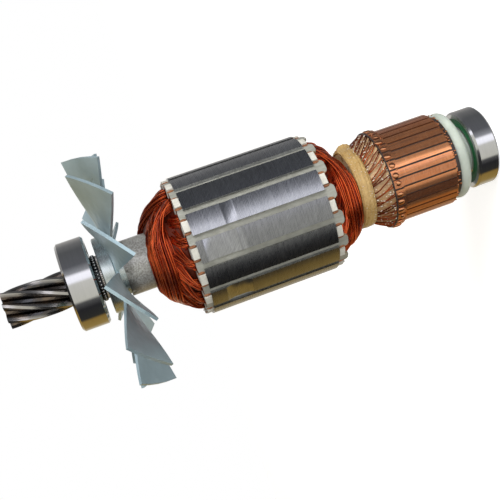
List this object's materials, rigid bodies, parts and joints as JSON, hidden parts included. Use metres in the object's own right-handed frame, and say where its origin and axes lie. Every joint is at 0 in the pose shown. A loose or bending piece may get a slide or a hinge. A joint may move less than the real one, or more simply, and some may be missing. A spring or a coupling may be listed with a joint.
{
  "type": "motor armature",
  "caption": "Wound rotor of a power-tool motor: laminated core, copper windings, commutator, fan, two ball bearings and a helical pinion cut in the shaft.",
  "frame": {"origin": "centre of the rear ball bearing's end face, which the armature stands on", "axes": "+Z along the shaft from the commutator end towards the pinion; +X and +Y across the shaft"},
  "size_m": [0.0918, 0.0918, 0.1995],
  "materials": {
    "shaft_steel": "dark, heat-treated",
    "sleeve": "satin",
    "lamination_steel": "ground",
    "fibre": "matt",
    "slot_paper": "varnished",
    "wedge": "matt",
    "enamelled_wire": "red-brown enamel under varnish",
    "lacing": "cord soaked in resin",
    "resin": "cast",
    "commutator_copper": "turned copper",
    "mica": "matt",
    "moulding": "moulded",
    "plain_steel": "turned",
    "nylon": "natural nylon",
    "zinc": "zinc plated, turned",
    "zinc_sheet": "zinc plated sheet",
    "dark_steel": "blackened",
    "bearing_steel": "ground and polished",
    "ball_steel": "polished",
    "cage": "pressed",
    "seal": "matt"
  },
  "bodies": {
    "rotor": {"rotor_shaft": "shaft_steel", "shaft_sleeve": "sleeve", "core_laminations": "lamination_steel", "front_end_plate": "fibre", "rear_end_plate": "fibre", "slot_liners": "slot_paper", "slot_wedges": "wedge", "coil_sides": "enamelled_wire", "front_end_winding": "enamelled_wire", "rear_end_winding": "enamelled_wire", "lacing_ring": "lacing", "lead_resin": "resin", "lead_wires": "enamelled_wire", "commutator_bars": "commutator_copper", "commutator_mica": "mica", "commutator_moulding": "moulding", "commutator_bush": "plain_steel", "dust_washer": "nylon", "fan_hub": "zinc", "cooling_fan": "zinc_sheet", "bearing_spacer": "dark_steel", "front_inner_race": "bearing_steel", "rear_inner_race": "bearing_steel"},
    "front_outer_ring": {"front_outer_race": "bearing_steel", "front_outboard_seal": "seal", "front_inboard_seal": "seal"},
    "front_ball_cage": {"front_balls": "ball_steel", "front_cage": "cage"},
    "rear_outer_ring": {"rear_outer_race": "bearing_steel", "rear_outboard_seal": "seal", "rear_inboard_seal": "seal"},
    "rear_ball_cage": {"rear_balls": "ball_steel", "rear_cage": "cage"}
  },
  "joints": [
    {"name": "front_bearing_spin", "type": "hinge", "parent": "rotor", "child": "front_outer_ring", "pos_m": [0, 0, 0.1694], "axis": [0, 0, 1], "continuous": true},
    {"name": "front_cage_orbit", "type": "hinge", "parent": "rotor", "child": "front_ball_cage", "pos_m": [0, 0, 0.1694], "axis": [0, 0, 1], "continuous": true},
    {"name": "rear_bearing_spin", "type": "hinge", "parent": "rotor", "child": "rear_outer_ring", "pos_m": [0, 0, 0.0045], "axis": [0, 0, 1], "continuous": true},
    {"name": "rear_cage_orbit", "type": "hinge", "parent": "rotor", "child": "rear_ball_cage", "pos_m": [0, 0, 0.0045], "axis": [0, 0, 1], "continuous": true}
  ],
  "couplings": [
    {"joint": "front_cage_orbit", "follows": "front_bearing_spin", "ratio": 0.619},
    {"joint": "rear_cage_orbit", "follows": "rear_bearing_spin", "ratio": 0.601}
  ]
}
